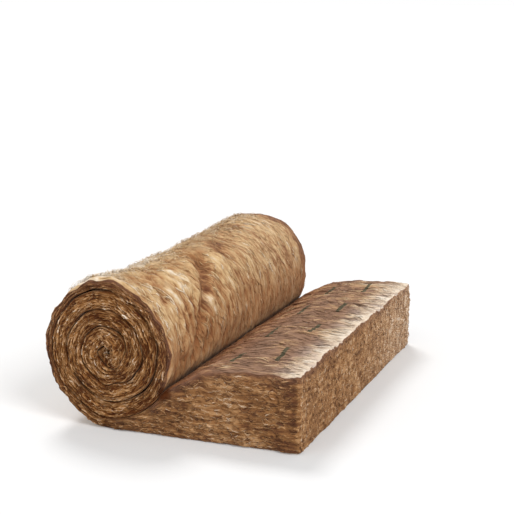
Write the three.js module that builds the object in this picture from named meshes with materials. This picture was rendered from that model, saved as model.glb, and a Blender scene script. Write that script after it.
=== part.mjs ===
// A roll of unfaced glass-wool insulation, partly unrolled on the floor.
//
// The whole roll is one continuous blanket of wool felt, so it is one solid. Its free end lies flat
// at full thickness. From there it runs under the roll, where it is squeezed thin, comes up round
// the outside and winds clockwise into a tight spiral that closes on a small eye. The faces that
// show are soft: the felt puffs up between its folds.
//
// Millimetres, +Z up. +X points from the roll to the cut end, and Y runs across the blanket, along
// the roll's axis. The origin is on the floor, under the middle of the bounding box.

import * as THREE from "three";
import { toCreasedNormals } from "three/addons/utils/BufferGeometryUtils.js";

const { clamp, smoothstep } = THREE.MathUtils;

// ---- Driving dimensions ----

// The blanket
const blanketWidth = 1200; // across the roll, from side to side
const freeThickness = 225; // where nothing squeezes it
const tailLength = 600; // from under the roll's axis to the cut end
const cutEndRound = 8; // radius of the soft corners of the cut end
const sideEdgeRound = 4; // how far the side edges are rounded, round every turn

// The roll
const rollRadius = 205; // of the outermost turn
const turnPitch = 50; // how far one full turn winds inwards, so the squeezed thickness and its gap
const turnGap = 2; // parting line between two turns
const bedThickness = 36; // of the blanket between the floor and the roll, under the axis
const liftTurns = 0.24; // part of a turn in which the blanket rises from the floor onto the roll
const windStart = 0.7; // where on the outermost turn the winding starts to draw inwards
const windEase = 0.3; // part of a turn over which it comes up to the full pitch
const eyeRadius = 6; // of the closed eye in the middle
const innerEndThickness = 16; // of the blanket's crushed inner end, which is round

// Where the unrolled part parts from the roll
const nipTurn = 0.833; // how far round the outermost turn, from the floor
const swellLength = 250; // from the nip to where the blanket has its free thickness

// Puffs of the felt, on the skin of the roll and on the top of the unrolled part
const skinPuffHeight = 3.5; // of a typical puff round the roll
const topPuffHeight = 2.5; // of a typical puff on the unrolled part
const broadestPuff = 420; // from crest to crest, along the felt
const finestPuff = 200; // from crest to crest, along the felt
const puffSlimness = 1.5; // how many times longer they are along the felt than across it
const puffWaves = 7; // how many waves cross one another
const floorFade = 0.1; // part of a turn from the floor over which the skin's form comes in
const nipFade = 0.05; // part of a turn before the nip over which it goes out again
const topFade = 90; // distance past the nip over which the top's form comes in

// Where the roll bulges out, or sinks in if the rise is negative: each is a bell both ways
const bulges = [
  { turn: 0.44, y: -570, rise: 9, halfTurns: 0.08, halfWidth: 100 },
  { turn: 0.2, y: -560, rise: -12, halfTurns: 0.1, halfWidth: 200 },
  { turn: 0.46, y: -300, rise: -14, halfTurns: 0.07, halfWidth: 100 },
  { turn: 0.45, y: 20, rise: -11, halfTurns: 0.13, halfWidth: 280 },
  { turn: 0.45, y: 560, rise: 8, halfTurns: 0.1, halfWidth: 120 },
  { turn: 0.6, y: 570, rise: 10, halfTurns: 0.07, halfWidth: 100 },
  { turn: 0.62, y: -20, rise: 8, halfTurns: 0.05, halfWidth: 100 },
];

// Folds pressed into the roll, each from one place on its skin to another
const foldEndFade = 0.15; // part of a fold's length over which it fades, inside and past its end
const folds = [
  { turn: 0.56, y: -90, toTurn: 0.705, toY: -330, depth: 15, halfWidth: 34 },
  { turn: 0.69, y: -315, toTurn: 0.79, toY: -440, depth: 10, halfWidth: 30 },
  { turn: 0.3, y: 300, toTurn: 0.45, toY: 180, depth: 8, halfWidth: 32 },
];

// Fineness of the facets
const facetLength = 38; // round a turn
const fewestFacets = 14; // round a turn, near the eye
const facetsAcross = 28; // on the faces that show
const partingFacetsAcross = 8; // on the two faces that part under the outermost turn
const swellFacets = 7; // over the swelling top
const levelFacets = 4; // over the level top
const roundFacets = 2; // in a quarter circle
const creaseAngle = Math.PI / 5; // facets that meet at less look smooth

// ---- Section of the blanket, in the XZ plane, with X measured from the roll's axis ----

// How many pitches the outer face has wound inwards, n turns after it leaves the floor.
function pitchesWound(n) {
  const eased = clamp(n - windStart, 0, windEase);
  return eased ** 2 / (2 * windEase) + Math.max(0, n - windStart - windEase);
}

// The roll lies on the bed: the parting line under the axis is one turn in from the floor.
const axisHeight = bedThickness + turnGap + rollRadius - turnPitch * pitchesWound(1);

// Radius of the blanket's outer face: it touches the floor at n = 0 and lifts onto the roll.
function outerFaceRadius(n) {
  const onFloor = 1 - smoothstep(n, 0, liftTurns);
  return rollRadius + (axisHeight - rollRadius) * onFloor - turnPitch * pitchesWound(n);
}

// The turn at which the outer face has wound in to a radius, on the evenly wound part.
function turnAtRadius(radius) {
  return windStart + windEase / 2 + (rollRadius - radius) / turnPitch;
}

// The blanket's inner end, beside the eye.
const innerEnd = turnAtRadius(eyeRadius + innerEndThickness);

// Radius of its inner face, which lies on the outer face of the next turn in. Round the eye it has
// no next turn, and draws in evenly to the inner end.
function innerFaceRadius(n) {
  const roundEye = Math.max(0, n + 1 - innerEnd);
  const nextOuterFace = outerFaceRadius(Math.min(n + 1, innerEnd));
  return nextOuterFace + turnGap - roundEye * (innerEndThickness + turnGap);
}

// A point n turns clockwise from straight below the axis.
function rollPoint(n, radius) {
  const angle = 2 * Math.PI * n;
  return new THREE.Vector2(-radius * Math.sin(angle), axisHeight - radius * Math.cos(angle));
}

// Where the unrolled part parts from the roll.
const nip = rollPoint(nipTurn - 1, innerFaceRadius(nipTurn - 1));

// Values from one to another, evenly spaced.
function spaced(from, to, steps) {
  return Array.from({ length: steps + 1 }, (_, i) => from + ((to - from) * i) / steps);
}

// Turns from one to a later one, a facet of the outer face apart. Both ends are among them.
function turnsBetween(from, to) {
  const turns = [from];
  while (turns.at(-1) < to) {
    const last = turns.at(-1);
    const facets = (2 * Math.PI * outerFaceRadius(last)) / facetLength;
    turns.push(last + 1 / Math.max(fewestFacets, facets));
  }
  const stretch = (to - from) / (turns.at(-1) - from);
  return turns.map((n) => from + stretch * (n - from));
}

// The top of the unrolled part: a parabola from the nip that levels out at full thickness.
function unrolledTop() {
  const level = new THREE.Vector2(nip.x + swellLength, freeThickness);
  const control = new THREE.Vector2((nip.x + level.x) / 2, freeThickness);
  const swell = new THREE.QuadraticBezierCurve(nip, control, level).getPoints(swellFacets);
  const flat = spaced(level.x, tailLength - cutEndRound, levelFacets).slice(1, -1);
  return [...swell, ...flat.map((x) => new THREE.Vector2(x, freeThickness))];
}

// An arc that runs clockwise round its centre.
function clockwiseArc(centre, radius, fromAngle, sweep) {
  const { x, y } = centre;
  const arc = new THREE.EllipseCurve(x, y, radius, radius, fromAngle, fromAngle - sweep, true);
  return arc.getPoints(Math.ceil(sweep / (Math.PI / 2)) * roundFacets);
}

// The inner end is a half circle from the outer face to the inner face.
function innerEndRound(outer, inner) {
  const centre = outer.clone().lerp(inner, 0.5);
  const toOuter = outer.clone().sub(centre);
  return clockwiseArc(centre, toOuter.length(), toOuter.angle(), Math.PI);
}

// The cut end is upright, with a quarter circle at its top and at its foot.
function cutEndTop() {
  const centre = new THREE.Vector2(tailLength - cutEndRound, freeThickness - cutEndRound);
  return clockwiseArc(centre, cutEndRound, Math.PI / 2, Math.PI / 2);
}

function cutEndFoot() {
  const centre = new THREE.Vector2(tailLength - cutEndRound, cutEndRound);
  return clockwiseArc(centre, cutEndRound, 0, Math.PI / 2);
}

// ---- Soft form of the faces that show ----

const goldenShare = (Math.sqrt(5) - 1) / 2;

function bell(t) {
  return Math.exp(-(t ** 2));
}

// Height of the puffs at a place on the felt, where 1 is a typical one. Waves of falling length
// cross one another, each turned from the last by the golden share of half a turn.
function puffs(along, across) {
  let sum = 0;
  for (let k = 0; k < puffWaves; k += 1) {
    const length = broadestPuff * (finestPuff / broadestPuff) ** (k / (puffWaves - 1));
    const heading = Math.PI * goldenShare * k;
    const distance = along * Math.cos(heading) + puffSlimness * across * Math.sin(heading);
    sum -= Math.sin(2 * Math.PI * (distance / length + goldenShare * k ** 2));
  }
  return sum * Math.sqrt(2 / puffWaves);
}

// Height of a bulge at a place on the roll.
function bulgeHeight({ turn, y, rise, halfTurns, halfWidth }, n, across) {
  return rise * bell((n - turn) / halfTurns) * bell((across - y) / halfWidth);
}

// Depth of a fold at a place on the roll. It falls off as a bell beside its line.
function foldDepth({ turn, y, toTurn, toY, depth, halfWidth }, n, across) {
  const part = (n - turn) / (toTurn - turn);
  const beside = (across - y - (toY - y) * clamp(part, 0, 1)) / halfWidth;
  const begun = smoothstep(part, -foldEndFade, foldEndFade);
  const ended = smoothstep(part, 1 - foldEndFade, 1 + foldEndFade);
  return depth * begun * (1 - ended) * bell(beside);
}

// How far the roll's skin stands out from its plain round.
function skinHeight(n, y) {
  const shown = smoothstep(n, 0, floorFade) * (1 - smoothstep(n, nipTurn - nipFade, nipTurn));
  let height = skinPuffHeight * puffs(2 * Math.PI * rollRadius * n, y);
  for (const bulge of bulges) {
    height += bulgeHeight(bulge, n, y);
  }
  for (const fold of folds) {
    height -= foldDepth(fold, n, y);
  }
  return shown * height;
}

// How far the top of the unrolled part stands up from its plain profile.
function topHeight(x, y) {
  return topPuffHeight * smoothstep(x, nip.x, nip.x + topFade) * puffs(-x, y);
}

// ---- Stations round the section ----
//
// Each says where it lies at a place y across the blanket, and how many facets it has across.

// On the roll, every turn follows the skin's form, less and less towards the eye.
function rollStation(n, radius, facets) {
  const share = (radius / rollRadius) ** 2;
  return { facets, at: (y) => rollPoint(n, radius + share * skinHeight(n - Math.floor(n), y)) };
}

// Between two turns. Only under the skin that shows, at a turn of its own, are there facets across.
function hiddenStation(n, skinTurn, radius) {
  const underSkin = skinTurn > 0 && skinTurn < nipTurn;
  return rollStation(n, radius, underSkin ? partingFacetsAcross : 1);
}

function topStation({ x, y: z }) {
  return { facets: facetsAcross, at: (y) => new THREE.Vector2(x, z + topHeight(x, y)) };
}

function plainStation(point, facets) {
  return { facets, at: () => point };
}

// All round the blanket's section, clockwise from the floor under the axis.
function blanketStations() {
  const skin = turnsBetween(0, nipTurn);
  const wound = turnsBetween(nipTurn, innerEnd).slice(1, -1);
  const onNextTurn = [...wound, innerEnd].map((n) => n - 1);
  const roundEye = turnsBetween(innerEnd - 1, innerEnd).slice(1, -1);
  const lining = [...onNextTurn, ...roundEye].reverse();
  const outerEdge = rollPoint(innerEnd, outerFaceRadius(innerEnd));
  const innerEdge = rollPoint(innerEnd, innerFaceRadius(innerEnd));
  return [
    ...skin.map((n) => rollStation(n, outerFaceRadius(n), facetsAcross)),
    ...wound.map((n) => hiddenStation(n, n - 1, outerFaceRadius(n))),
    ...innerEndRound(outerEdge, innerEdge).map((point) => plainStation(point, 1)),
    ...lining.map((n) => hiddenStation(n, n, innerFaceRadius(n))),
    ...[...unrolledTop(), ...cutEndTop()].map(topStation),
    ...cutEndFoot().map((point) => plainStation(point, 1)),
  ];
}

// ---- The blanket: its section carried across the width ----

const woolFelt = new THREE.MeshStandardMaterial({ color: 0xa98560, roughness: 1, metalness: 0 });

// A clockwise contour drawn in on all sides, to round an edge. Each corner moves along the line
// that halves its angle, so that both its sides come in by the distance.
function drawnIn(contour, distance) {
  return contour.map((point, i) => {
    const arriving = point.clone().sub(contour.at(i - 1)).normalize();
    const leaving = contour[(i + 1) % contour.length].clone().sub(point).normalize();
    const along = arriving.add(leaving);
    const inwards = new THREE.Vector2(along.y, -along.x);
    return point.clone().addScaledVector(inwards, (2 * distance) / along.lengthSq());
  });
}

// Triangles between two neighbouring rows of points, which both run from side to side. Each next
// one goes on along the row that lags behind, so one row may have more points than the other.
function strip(row, next) {
  const triangles = [];
  let i = 0;
  let j = 0;
  while (i + 1 < row.length || j + 1 < next.length) {
    if (j + 1 === next.length || (i + 1 < row.length && row[i + 1].y <= next[j + 1].y)) {
      triangles.push(row[i].index, next[j].index, row[i + 1].index);
      i += 1;
    } else {
      triangles.push(row[i].index, next[j].index, next[j + 1].index);
      j += 1;
    }
  }
  return triangles;
}

function makeBlanket() {
  const half = blanketWidth / 2;
  const straight = half - sideEdgeRound;
  const stations = blanketStations();
  const contourAt = (y) => stations.map((station) => station.at(y));
  const near = drawnIn(contourAt(-half), sideEdgeRound);
  const far = drawnIn(contourAt(half), sideEdgeRound);
  const positions = [];
  const addPoint = ({ x, y: z }, y) => {
    positions.push(x, y, z);
    return { y, index: positions.length / 3 - 1 };
  };
  const rows = stations.map(({ facets, at }, i) => [
    addPoint(near[i], -half),
    ...spaced(-straight, straight, facets).map((y) => addPoint(at(y), y)),
    addPoint(far[i], half),
  ]);
  const sides = rows.flatMap((row, i) => strip(row, rows[(i + 1) % rows.length]));
  const nearEnd = THREE.ShapeUtils.triangulateShape(near, []).flat();
  const farEnd = THREE.ShapeUtils.triangulateShape(far, []).flat().reverse();

  const geometry = new THREE.BufferGeometry();
  geometry.setAttribute("position", new THREE.Float32BufferAttribute(positions, 3));
  geometry.setIndex([
    ...sides,
    ...nearEnd.map((i) => rows[i][0].index),
    ...farEnd.map((i) => rows[i].at(-1).index),
  ]);
  geometry.computeBoundingBox();
  const { min, max } = geometry.boundingBox;
  geometry.translate(-(min.x + max.x) / 2, 0, 0);
  const blanket = new THREE.Mesh(toCreasedNormals(geometry, creaseAngle), woolFelt);
  blanket.name = "wool_blanket";
  return blanket;
}

const insulationRoll = new THREE.Group();
insulationRoll.add(makeBlanket());

export default insulationRoll;
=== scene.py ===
"""A partly unrolled blanket of unfaced glass wool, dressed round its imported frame.

The blanket is one closed surface: a box of felt, bent over the floor and round into the roll, whose
faces are raised by layered noise into locks, laminae and flakes. Loose fibres are laid over every
face that shows. Metres, +Z up, and +X from the roll to the cut end.
"""

from collections import namedtuple

import bpy
import numpy as np
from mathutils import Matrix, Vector


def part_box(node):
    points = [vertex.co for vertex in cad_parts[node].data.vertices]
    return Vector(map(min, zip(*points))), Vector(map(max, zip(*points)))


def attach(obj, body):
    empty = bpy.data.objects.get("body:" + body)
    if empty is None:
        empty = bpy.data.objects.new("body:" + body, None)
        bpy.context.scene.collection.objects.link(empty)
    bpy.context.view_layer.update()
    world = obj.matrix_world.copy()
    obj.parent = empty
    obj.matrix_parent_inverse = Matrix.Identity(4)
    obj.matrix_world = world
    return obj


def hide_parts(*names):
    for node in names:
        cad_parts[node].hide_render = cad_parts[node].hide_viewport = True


bl_info = {
    "name": "Insulation roll",
    "version": (1, 0, 0),
    "blender": (4, 5, 0),
    "location": "3D View > Sidebar > Insulation",
    "description": "Makes a blanket of glass wool, its locks and loose fibres, and a plain stage",
    "category": "Add Mesh",
}

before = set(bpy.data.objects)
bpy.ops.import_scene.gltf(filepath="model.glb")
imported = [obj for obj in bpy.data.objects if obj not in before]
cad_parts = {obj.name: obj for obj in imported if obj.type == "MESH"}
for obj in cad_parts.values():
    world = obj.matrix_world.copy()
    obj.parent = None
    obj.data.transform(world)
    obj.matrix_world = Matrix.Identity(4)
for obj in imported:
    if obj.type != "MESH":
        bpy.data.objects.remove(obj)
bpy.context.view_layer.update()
LOW, HIGH = (np.array(corner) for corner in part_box("wool_blanket"))

MM = 0.001


def linear(code):
    """A colour for Blender from an sRGB hex code: each channel turned linear, and an alpha of 1."""
    channels = np.array([int(code[k : k + 2], 16) for k in (0, 2, 4)]) / 255
    straight = np.where(channels > 0.04045, ((channels + 0.055) / 1.055) ** 2.4, channels / 12.92)
    return (*straight.tolist(), 1.0)


# ---- Settings ----


def length(name, description, default, low=0.0, high=2.0):
    """A property that holds a length in metres."""
    return bpy.props.FloatProperty(
        name=name,
        description=description,
        default=default,
        min=low,
        max=high,
        precision=4,
        unit="LENGTH",
        subtype="DISTANCE",
    )


def share(name, description, default, high=1.0):
    """A property that holds a share or a number of turns."""
    return bpy.props.FloatProperty(
        name=name, description=description, default=default, min=0.0, max=high, precision=3
    )


def number(name, description, default, low=1):
    """A property that holds a whole number."""
    return bpy.props.IntProperty(name=name, description=description, default=default, min=low)


def colour(name, description, code):
    """A property that holds a colour, given as an sRGB hex code."""
    return bpy.props.FloatVectorProperty(
        name=name,
        description=description,
        default=linear(code),
        size=4,
        min=0.0,
        max=1.0,
        subtype="COLOR",
    )


class InsulationSizes(bpy.types.PropertyGroup):
    """The winding of the blanket, as in its solid. Its width and its cut end come from the frame."""

    tail_length: length("Tail", "From under the roll's axis to the cut end", 0.600)
    bed_thickness: length("Bed", "Of the blanket between the floor and the roll", 0.036)
    roll_radius: length("Roll radius", "Radius of the outermost turn", 0.205)
    free_thickness: length("Free thickness", "Where nothing squeezes the blanket", 0.225)
    turn_pitch: length("Turn pitch", "How far one full turn winds inwards", 0.050)
    turn_gap: length("Turn gap", "Parting line between two turns", 0.002)
    lift_turns: share("Lift", "Part of a turn in which it rises from the floor", 0.24)
    wind_start: share("Wind start", "Where the outermost turn starts to draw inwards", 0.7)
    wind_ease: share("Wind ease", "Part of a turn over which it comes up to the full pitch", 0.3)
    eye_radius: length("Eye radius", "Radius of the closed eye in the middle", 0.006)
    inner_end: length("Inner end", "Thickness of the crushed inner end", 0.016)
    nip_turn: share("Nip", "How far round the outermost turn the tail parts from it", 0.833)
    swell: length("Swell", "From the nip to where the blanket has its free thickness", 0.250)


class InsulationForm(bpy.types.PropertyGroup):
    """The broad puffs of the felt, as in its solid."""

    skin_puff: length("Skin puff", "Height of a typical puff round the roll", 0.0035)
    top_puff: length("Top puff", "Height of a typical puff on the unrolled part", 0.0025)
    broadest: length("Broadest", "The broadest puffs, from crest to crest along the felt", 0.420)
    finest: length("Finest", "The finest puffs, from crest to crest along the felt", 0.200)
    slimness: share("Slimness", "How many times longer they are along the felt", 1.5, 4.0)
    waves: number("Waves", "How many waves cross one another", 7, low=2)
    floor_fade: share("Floor fade", "Part of a turn over which they come in", 0.1)
    nip_fade: share("Nip fade", "Part of a turn over which they go out at the nip", 0.05)
    top_fade: length("Top fade", "Distance past the nip over which they come in", 0.090)


class InsulationRelief(bpy.types.PropertyGroup):
    """How rough the felt is."""

    edge_round: length("Edge round", "Radius of the soft side edges", 0.010)
    cut_round: length("Cut round", "Radius of the soft edges of the cut end", 0.007)
    lock_height: length("Lock height", "Of the combed locks round the roll", 0.004)
    ridge_height: length("Ridge height", "Of the ridges along the unrolled part", 0.0055)
    lamina_height: length("Lamina height", "Of the layers that show on the sides", 0.005)
    flake_height: length("Flake height", "Of the torn flakes of the cut faces", 0.003)
    open_gap: length("Open gap", "How far two turns part where they gape", 0.005)


# How many locks there are for a wisp, and how many fibres of fuzz to a wisp
LOCKS_A_ROLL_WISP = 16
LOCKS_A_TAIL_WISP = 8
FUZZ_A_WISP = 4


class InsulationFibres(bpy.types.PropertyGroup):
    """How many loose fibres lie on each face."""

    on_roll: number("On the roll", "Locks round the roll", 7000, low=LOCKS_A_ROLL_WISP)
    on_tail: number("On the tail", "Locks along the unrolled top", 3200, low=LOCKS_A_TAIL_WISP)
    on_side: number("On a side", "Torn fibres on each side of the blanket", 5200)
    on_cut: number("On the cut end", "Torn fibres on the cut end", 6000)


class InsulationColours(bpy.types.PropertyGroup):
    """The colours of the wool, from its hollows to its ridges, and of the marks on it."""

    # The deep and high colours of both ramps are partly painted shade and painted highlight
    skin_deep: colour("Skin, deep", "The felt's skin in its hollows", "6a3f29")
    skin_low: colour("Skin, low", "The felt's skin between its locks", "a0734b")
    skin_mid: colour("Skin, mid", "The felt's skin", "cbab7e")
    skin_high: colour("Skin, high", "The felt's skin on its locks", "e2d2bc")
    # This colour is also a painted highlight along the crest and the cut edge of the tail
    pale_fuzz_and_highlight: colour("Palest", "Fuzz by the cut end and in patches on the roll", "f6f0e6")
    # This colour is also the painted shade of the nip and of the parting lines
    cut_deep_shade: colour("Cut, deep", "The cut felt between its layers", "52280c")
    cut_low: colour("Cut, low", "The cut felt in its hollows", "8e6034")
    cut_mid: colour("Cut, mid", "The cut felt", "c2976a")
    cut_high: colour("Cut, high", "The cut felt on its flakes", "efdfcc")
    rubbed: colour("Rubbed", "The cut felt beside the skin", "8c6856")
    upper: colour("Upper", "A greyer tint of the unrolled part and the far half", "b39880")
    # This colour is a warmer brown laid as painted shade on both sides of the nip
    warm_nip_shade: colour("Warm", "The felt's skin on both sides of the nip", "9c663e")
    ink: colour("Ink", "The dashed cutting marks", "4c4a38")
    floor: colour("Floor", "The plain floor", "e6e6e6")


# ---- Noise ----


def random_word(cell, seed):
    """A random 32-bit word for each whole-numbered place, by mixing its coordinates with shifts."""
    start = np.uint32((seed * 0x9E3779B9 + 0x7F4A7C15) & 0xFFFFFFFF)
    word = np.full(cell.shape[1:], start, np.uint32)
    for axis in cell:
        word = (word ^ axis.astype(np.int64).astype(np.uint32)) * np.uint32(0x85EBCA6B)
        word ^= word >> np.uint32(13)
        word *= np.uint32(0xC2B2AE35)
        word ^= word >> np.uint32(16)
    return word


def noise(seed, *axes):
    """Smooth noise from about -1 to 1, with a cell of one unit.

    Each corner of the cell round a place has a random slope. The heights that these slopes give at
    the place are blended along each axis by 6t^5 - 15t^4 + 10t^3.
    """
    place = np.stack(np.broadcast_arrays(*axes)).astype(float)
    cell = np.floor(place)
    within = place - cell
    ease = within**3 * (within * (within * 6 - 15) + 10)
    total = 0
    for corner in np.ndindex(*(2,) * len(place)):
        step = np.reshape(corner, (-1,) + (1,) * (place.ndim - 1))
        weight = np.prod(np.where(step, ease, 1 - ease), axis=0)
        word = random_word(cell + step, seed)
        # Ten bits of the word make each slope, from -1 to 1
        tens = [(word >> np.uint32(10 * k)) & np.uint32(1023) for k in range(len(place))]
        slopes = np.stack(tens) / 511.5 - 1
        total = total + weight * np.sum(slopes * (within - step), axis=0)
    return 1.6 * total


def layered(seed, layers, *axes):
    """Noise in layers, each twice as fine and half as strong as the one before."""
    return sum(noise(seed + k, *(a * 2**k for a in axes)) / 2**k for k in range(layers))


def creased(seed, layers, *axes):
    """Rounded hills with sharp creases between them, from about -1 to 1: noise without its sign."""
    hills = sum(np.abs(noise(seed + k, *(a * 2**k for a in axes))) / 2**k for k in range(layers))
    return 2.2 * hills - 0.9


def smooth(t):
    """A step from 0 to 1 that eases in and out: 3t^2 - 2t^3."""
    t = np.clip(t, 0, 1)
    return t * t * (3 - 2 * t)


def bell(t):
    """A bell that falls from 1 in its middle to 0.37 at t = 1: the exponential of -t^2."""
    return np.exp(-(t**2))


def spot(place, middle, half):
    """The product of a bell along each of two axes, with its middle and its half widths."""
    (a, b), (mid_a, mid_b), (half_a, half_b) = place, middle, half
    return np.exp(-(((a - mid_a) / half_a) ** 2) - ((b - mid_b) / half_b) ** 2)


def rounded(to_face, to_other, radius):
    """How far a point of two square faces moves in from the first when their edge is rounded.

    On the first face it falls to a circle as the other face nears. On the other it slides in by the
    same amount at the edge, and less away from it, so that both faces end on the arc's middle.
    """
    near = np.clip(radius - to_other, 0, None)
    fall = radius - np.sqrt(radius**2 - near**2 / 2)
    slide = (1 - np.sqrt(0.5)) * np.clip(radius - to_face, 0, None)
    on_first = to_face < ON_LINE
    on_other = to_other < ON_LINE
    return np.where(on_first, fall, np.where(on_other, slide, 0))


# ---- The blanket as a bent solid ----

# Where the roll bulges out or sinks in, as in its solid: (turns from the floor, y), half widths in
# turns and y, and rise.
BULGES = (
    ((0.44, -0.57), (0.08, 0.10), 0.009),
    ((0.20, -0.56), (0.10, 0.20), -0.012),
    ((0.46, -0.30), (0.07, 0.10), -0.014),
    ((0.45, 0.02), (0.13, 0.28), -0.011),
    ((0.45, 0.56), (0.10, 0.12), 0.008),
    ((0.60, 0.57), (0.07, 0.10), 0.010),
    ((0.62, -0.02), (0.05, 0.10), 0.008),
)
# Folds pressed into the roll, as in its solid: (turns from the floor, y) of both ends, depth and
# half width.
FOLDS = (
    ((0.560, -0.090), (0.705, -0.330), 0.015, 0.034),
    ((0.690, -0.315), (0.790, -0.440), 0.010, 0.030),
    ((0.300, 0.300), (0.450, 0.180), 0.008, 0.032),
)

# Sharp creases in the skin of the roll, told in the same way. The first two lie in a fold.
ROLL_CREASES = (
    ((0.565, -0.098), (0.705, -0.330), 0.006, 0.011),
    ((0.690, -0.315), (0.790, -0.440), 0.004, 0.010),
    ((0.520, 0.140), (0.600, 0.020), 0.005, 0.016),
    ((0.310, 0.292), (0.440, 0.188), 0.003, 0.012),
    ((0.180, -0.200), (0.330, -0.330), 0.005, 0.018),
)
# Sharp creases in the top of the tail, as (x, y) of both ends, depth and half width.
TAIL_CREASES = (
    ((0.170, 0.000), (0.400, 0.062), 0.008, 0.012),
    ((0.130, 0.215), (0.300, 0.268), 0.006, 0.010),
    ((0.090, -0.250), (0.330, -0.205), 0.004, 0.012),
    ((0.200, -0.410), (0.402, -0.395), 0.004, 0.014),
    ((0.060, 0.420), (0.260, 0.450), 0.004, 0.012),
)

# Patches of whiter fuzz on the roll: (turns from the floor, y), half widths in turns and y, and how
# white they are.
PALE_PATCHES = (
    # These two lie along the crest, where their white is also a painted highlight
    ((0.450, -0.34), (0.036, 0.30), 0.825),
    ((0.475, -0.56), (0.040, 0.06), 0.630),
    ((0.615, -0.43), (0.035, 0.020), 0.450),
    ((0.680, -0.24), (0.035, 0.022), 0.525),
    ((0.570, -0.33), (0.030, 0.020), 0.375),
)

# Rows of dashes across the blanket: the row's distance from the cut end, and its first dash's start.
MARK_ROWS = ((0.247, 0.102), (0.125, 0.145))
MARK_PITCH = 0.290
MARK_LENGTH = 0.112
MARK_WIDTH = 0.013
MARK_BED = 0.028  # half width of the flatter felt that a row is printed on

RELIEF_DEPTH = 0.030  # how far in from a side or the cut end its relief still moves the felt
TOP_COVER = 0.14  # how far past the roll's axis the nip hides the upper face
ON_LINE = 1e-6  # nearer than this, a point counts as lying on a face


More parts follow.
